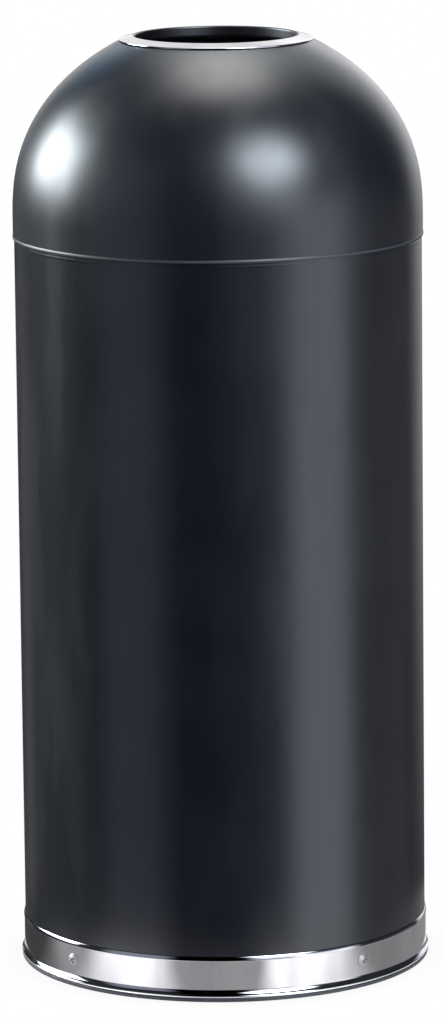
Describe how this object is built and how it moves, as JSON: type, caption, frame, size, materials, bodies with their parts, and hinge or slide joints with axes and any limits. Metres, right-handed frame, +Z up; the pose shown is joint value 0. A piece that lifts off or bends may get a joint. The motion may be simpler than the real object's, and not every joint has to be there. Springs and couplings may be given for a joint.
{
  "type": "open-top trash can",
  "caption": "Free-standing dome-top trash can: satin black steel body on a chromed base ring, lift-off dome with a chromed round mouth, and a lift-out galvanised liner with drop handles.",
  "frame": {"origin": "on the floor, on the can's vertical axis, at the underside of the floor ring", "axes": "+Z up along the can's axis, -Y towards the front, the liner's handles on -X and +X"},
  "size_m": [0.3884, 0.3884, 0.8763],
  "materials": {
    "black_paint": "satin black powder coat",
    "bright_chrome": "bright chrome plate",
    "dark_vinyl": "soft matte vinyl",
    "galvanised_steel": "hot-dip galvanised, spangled",
    "zinc_plate": "bright zinc plate"
  },
  "bodies": {
    "body": {"body_shell": "black_paint", "floor_ring": "dark_vinyl", "base_ring": "bright_chrome", "bottom_pan": "black_paint", "base_screws": "bright_chrome", "base_washers": "zinc_plate", "base_nuts": "zinc_plate"},
    "liner": {"liner_wall": "galvanised_steel", "liner_bottom": "galvanised_steel", "liner_rim_wire": "zinc_plate", "handle_clip_right": "zinc_plate", "handle_clip_left": "zinc_plate", "clip_rivets": "zinc_plate"},
    "handle_right": {"handle_right": "zinc_plate"},
    "handle_left": {"handle_left": "zinc_plate"},
    "dome": {"dome_shell": "black_paint", "dome_stop_ring": "black_paint", "mouth_ring": "bright_chrome"}
  },
  "joints": [
    {"name": "liner_lift", "type": "slide", "parent": "body", "child": "liner", "axis": [0, 0, 1], "range_m": [0, 0.68]},
    {"name": "dome_lift", "type": "slide", "parent": "liner", "child": "dome", "axis": [0, 0, 1], "range_m": [0, 0.25]},
    {"name": "right_handle_swing", "type": "hinge", "parent": "liner", "child": "handle_right", "pos_m": [0.17213, 0, 0.66057], "axis": [0, 1, 0], "range_deg": [0, 180]},
    {"name": "left_handle_swing", "type": "hinge", "parent": "liner", "child": "handle_left", "pos_m": [-0.17213, 0, 0.66057], "axis": [0, -1, 0], "range_deg": [0, 180]}
  ]
}
